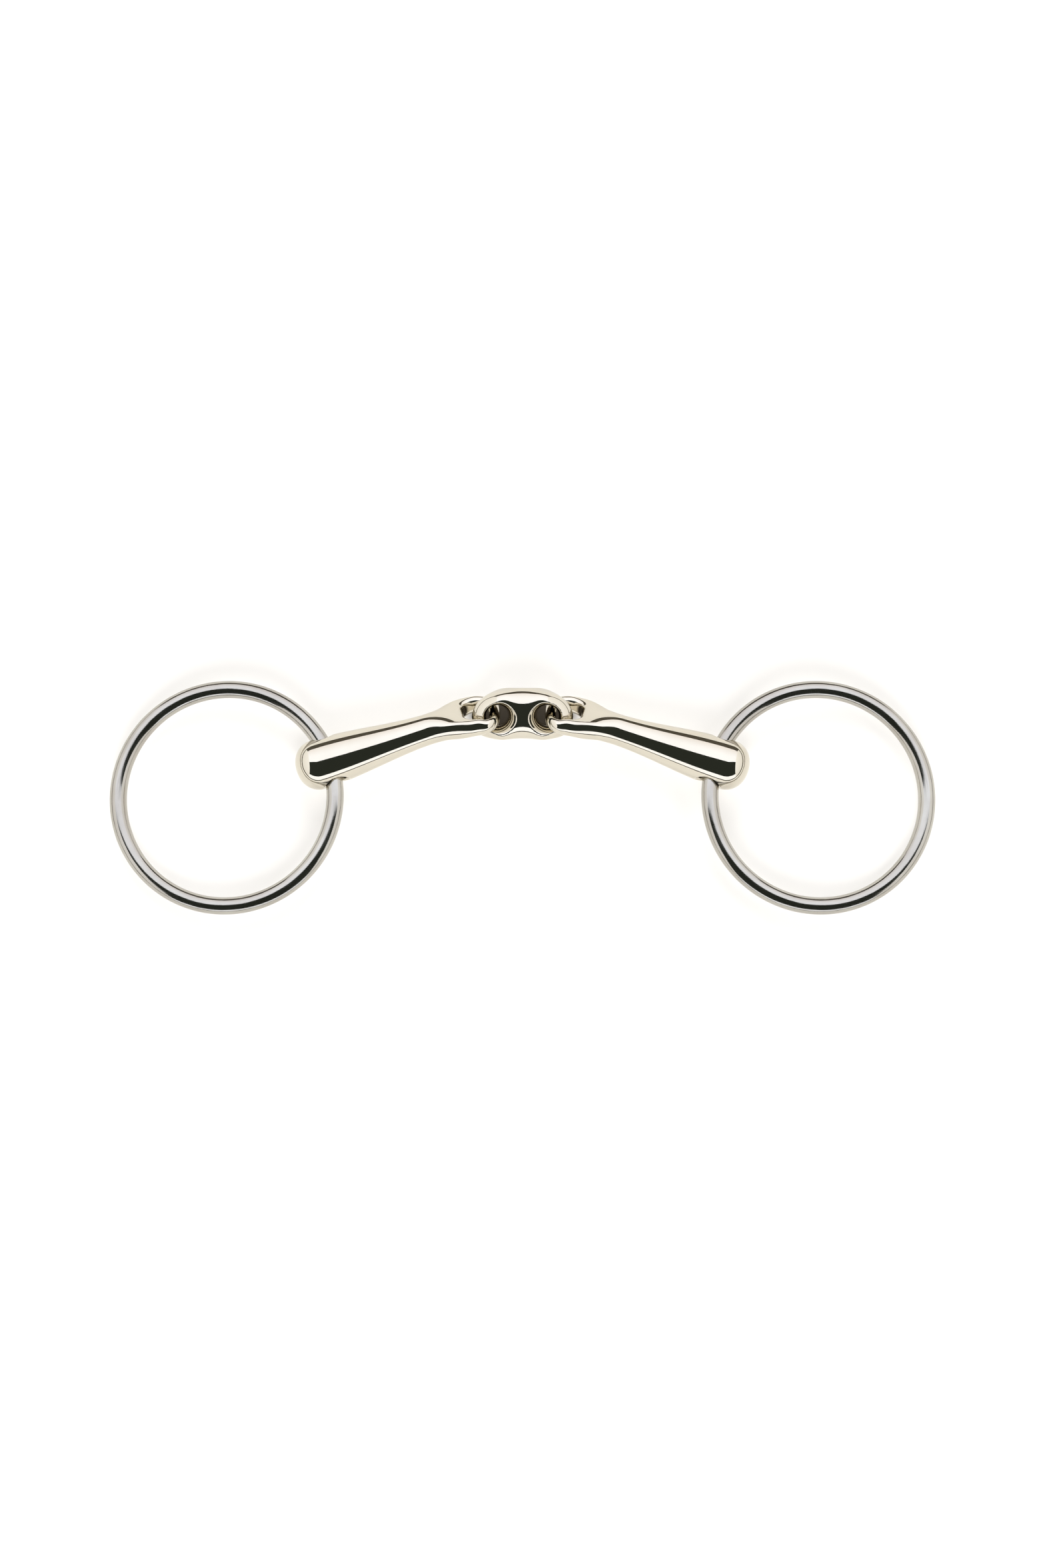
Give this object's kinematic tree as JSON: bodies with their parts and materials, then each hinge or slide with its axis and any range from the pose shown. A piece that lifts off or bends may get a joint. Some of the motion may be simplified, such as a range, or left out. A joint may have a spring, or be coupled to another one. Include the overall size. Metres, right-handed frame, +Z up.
{
  "type": "double-jointed loose-ring snaffle bit",
  "caption": "Horse bit with loose round rings, tapered bent arms and a lozenge centre link, jointed at both eyes.",
  "frame": {"origin": "on the surface that the bit lies on, midway between the two rings' centres", "axes": "+X from the left ring to the right ring, +Y towards the side that the mouthpiece arches to, +Z up off the surface"},
  "size_m": [0.2454, 0.07, 0.015],
  "materials": {
    "ring_steel": "polished stainless steel wire with a faint satin streak along it",
    "mouthpiece_metal": "mirror-polished pale champagne-coloured copper alloy"
  },
  "bodies": {
    "link": {"centre_link": "mouthpiece_metal"},
    "left_arm": {"left_arm": "mouthpiece_metal"},
    "right_arm": {"right_arm": "mouthpiece_metal"},
    "left_ring": {"left_ring": "ring_steel"},
    "right_ring": {"right_ring": "ring_steel"}
  },
  "joints": [
    {"name": "left_arm_fold", "type": "hinge", "parent": "link", "child": "left_arm", "pos_m": [-0.0075, 0.02456, 0.0071], "axis": [0, 0.4384, -0.8988], "range_deg": [-30, 45]},
    {"name": "right_arm_fold", "type": "hinge", "parent": "link", "child": "right_arm", "pos_m": [0.0075, 0.02456, 0.0071], "axis": [0, -0.4384, 0.8988], "range_deg": [-30, 45]},
    {"name": "left_ring_swing", "type": "hinge", "parent": "left_arm", "child": "left_ring", "pos_m": [-0.0574, 0.01105, 0.0075], "axis": [0.342, -0.9397, 0], "range_deg": [-90, 90]},
    {"name": "right_ring_swing", "type": "hinge", "parent": "right_arm", "child": "right_ring", "pos_m": [0.0574, 0.01105, 0.0075], "axis": [0.342, 0.9397, 0], "range_deg": [-90, 90]}
  ]
}
